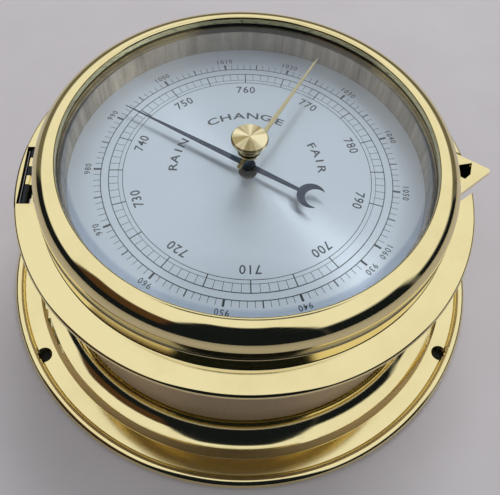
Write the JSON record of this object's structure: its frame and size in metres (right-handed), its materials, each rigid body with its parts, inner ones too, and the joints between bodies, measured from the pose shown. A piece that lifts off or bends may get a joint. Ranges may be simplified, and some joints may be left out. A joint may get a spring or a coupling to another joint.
{
  "type": "marine barometer",
  "caption": "Round brass aneroid barometer with a hinged glazed door, silvered dial, set hand and wide flange for a wall or table.",
  "frame": {"origin": "centre of the mounting flange's back face", "axes": "+Z out of the dial towards the reader, +Y towards 12 o'clock, +X towards 3 o'clock"},
  "size_m": [0.18, 0.18, 0.0747],
  "materials": {
    "polished_brass": "polished",
    "door_brass": "polished",
    "knob_brass": "turned",
    "satin_brass": "brushed",
    "movement_brass": "satin",
    "screw_brass": "turned",
    "blue_steel": "blued",
    "steel": "satin",
    "capsule_metal": "satin",
    "dial_silver": "silvered, spun satin",
    "clear_glass": "polished",
    "black_rubber": "matt"
  },
  "bodies": {
    "case": {"case_body": "polished_brass", "back_cover": "satin_brass", "back_cover_screws": "screw_brass", "movement_base": "movement_brass", "base_screws": "screw_brass", "dial_carrier": "satin_brass", "carrier_screws": "screw_brass", "dial": "dial_silver", "sight_ring": "satin_brass", "hinge_case_leaf": "steel", "case_leaf_screws": "screw_brass", "hinge_pin": "steel", "latch_bracket": "polished_brass", "latch_pin": "steel", "latch_spring": "steel", "capsule_stack": "capsule_metal", "pillars": "movement_brass", "lower_plate": "movement_brass", "plate_screws": "blue_steel", "shaft_cocks": "movement_brass", "cock_screws": "blue_steel", "upper_bridge": "movement_brass", "bridge_posts": "movement_brass", "bridge_screws": "blue_steel", "hairspring": "blue_steel", "hairspring_stud": "movement_brass"},
    "door": {"bezel": "door_brass", "glass": "clear_glass", "glass_gasket": "black_rubber", "retaining_ring": "door_brass", "hinge_door_leaf": "polished_brass", "door_leaf_screws": "screw_brass", "set_hand_bush": "knob_brass", "bush_nut": "knob_brass"},
    "set_hand": {"knob": "knob_brass", "set_hand": "knob_brass", "set_hand_washer": "steel"},
    "latch": {"latch_lever": "polished_brass"},
    "calibration": {"calibration_screw": "steel"},
    "capsule_top": {"capsule_post": "movement_brass"},
    "rocker": {"rocking_shaft": "steel", "rocking_finger": "movement_brass", "bimetal_arm": "steel"},
    "sector": {"sector_gear": "movement_brass", "sector_arbor": "steel", "tail_pin": "steel"},
    "pointer": {"pointer_arbor": "steel", "pinion": "steel", "hairspring_collet": "movement_brass", "needle_hub": "blue_steel", "pressure_needle": "blue_steel"}
  },
  "joints": [
    {"name": "door_hinge", "type": "hinge", "parent": "case", "child": "door", "pos_m": [-0.07315, 0.0022, 0.0525], "axis": [0, -1, 0], "range_deg": [0, 100]},
    {"name": "set_hand_turn", "type": "hinge", "parent": "door", "child": "set_hand", "pos_m": [0, 0, 0.067], "axis": [0, 0, -1], "continuous": true},
    {"name": "latch_turn", "type": "hinge", "parent": "case", "child": "latch", "pos_m": [0.07334, 0.00295, 0.046], "axis": [-0.0401, 0.9992, 0], "range_deg": [0, 8], "stiffness_Nm_per_rad": 0.02, "springref_deg": -5.73},
    {"name": "calibration_turn", "type": "hinge", "parent": "case", "child": "calibration", "pos_m": [0, -0.02656, 0.003], "axis": [0, 0, -1], "range_deg": [-180, 180]},
    {"name": "sector_turn", "type": "hinge", "parent": "case", "child": "sector", "pos_m": [0, -0.0308, 0.046], "axis": [0, 0, 1], "range_deg": [-16.64, 18.46], "stiffness_Nm_per_rad": 0.002},
    {"name": "pointer_turn", "type": "hinge", "parent": "case", "child": "pointer", "pos_m": [0, 0, 0.046], "axis": [0, 0, -1], "range_deg": [-166.5, 184.7]},
    {"name": "rocker_turn", "type": "hinge", "parent": "case", "child": "rocker", "pos_m": [0, -0.03206, 0.0356], "axis": [-1, 0, 0], "range_deg": [-9.6, 10.6]},
    {"name": "capsule_travel", "type": "slide", "parent": "case", "child": "capsule_top", "axis": [0, 0, -1], "range_m": [-0.00092, 0.00102], "deforming": ["capsule_stack"]}
  ],
  "couplings": [
    {"joint": "pointer_turn", "follows": "sector_turn", "ratio": 10},
    {"joint": "rocker_turn", "follows": "sector_turn", "ratio": 0.568},
    {"joint": "capsule_travel", "follows": "sector_turn", "m_per_rad": 0.003124}
  ]
}
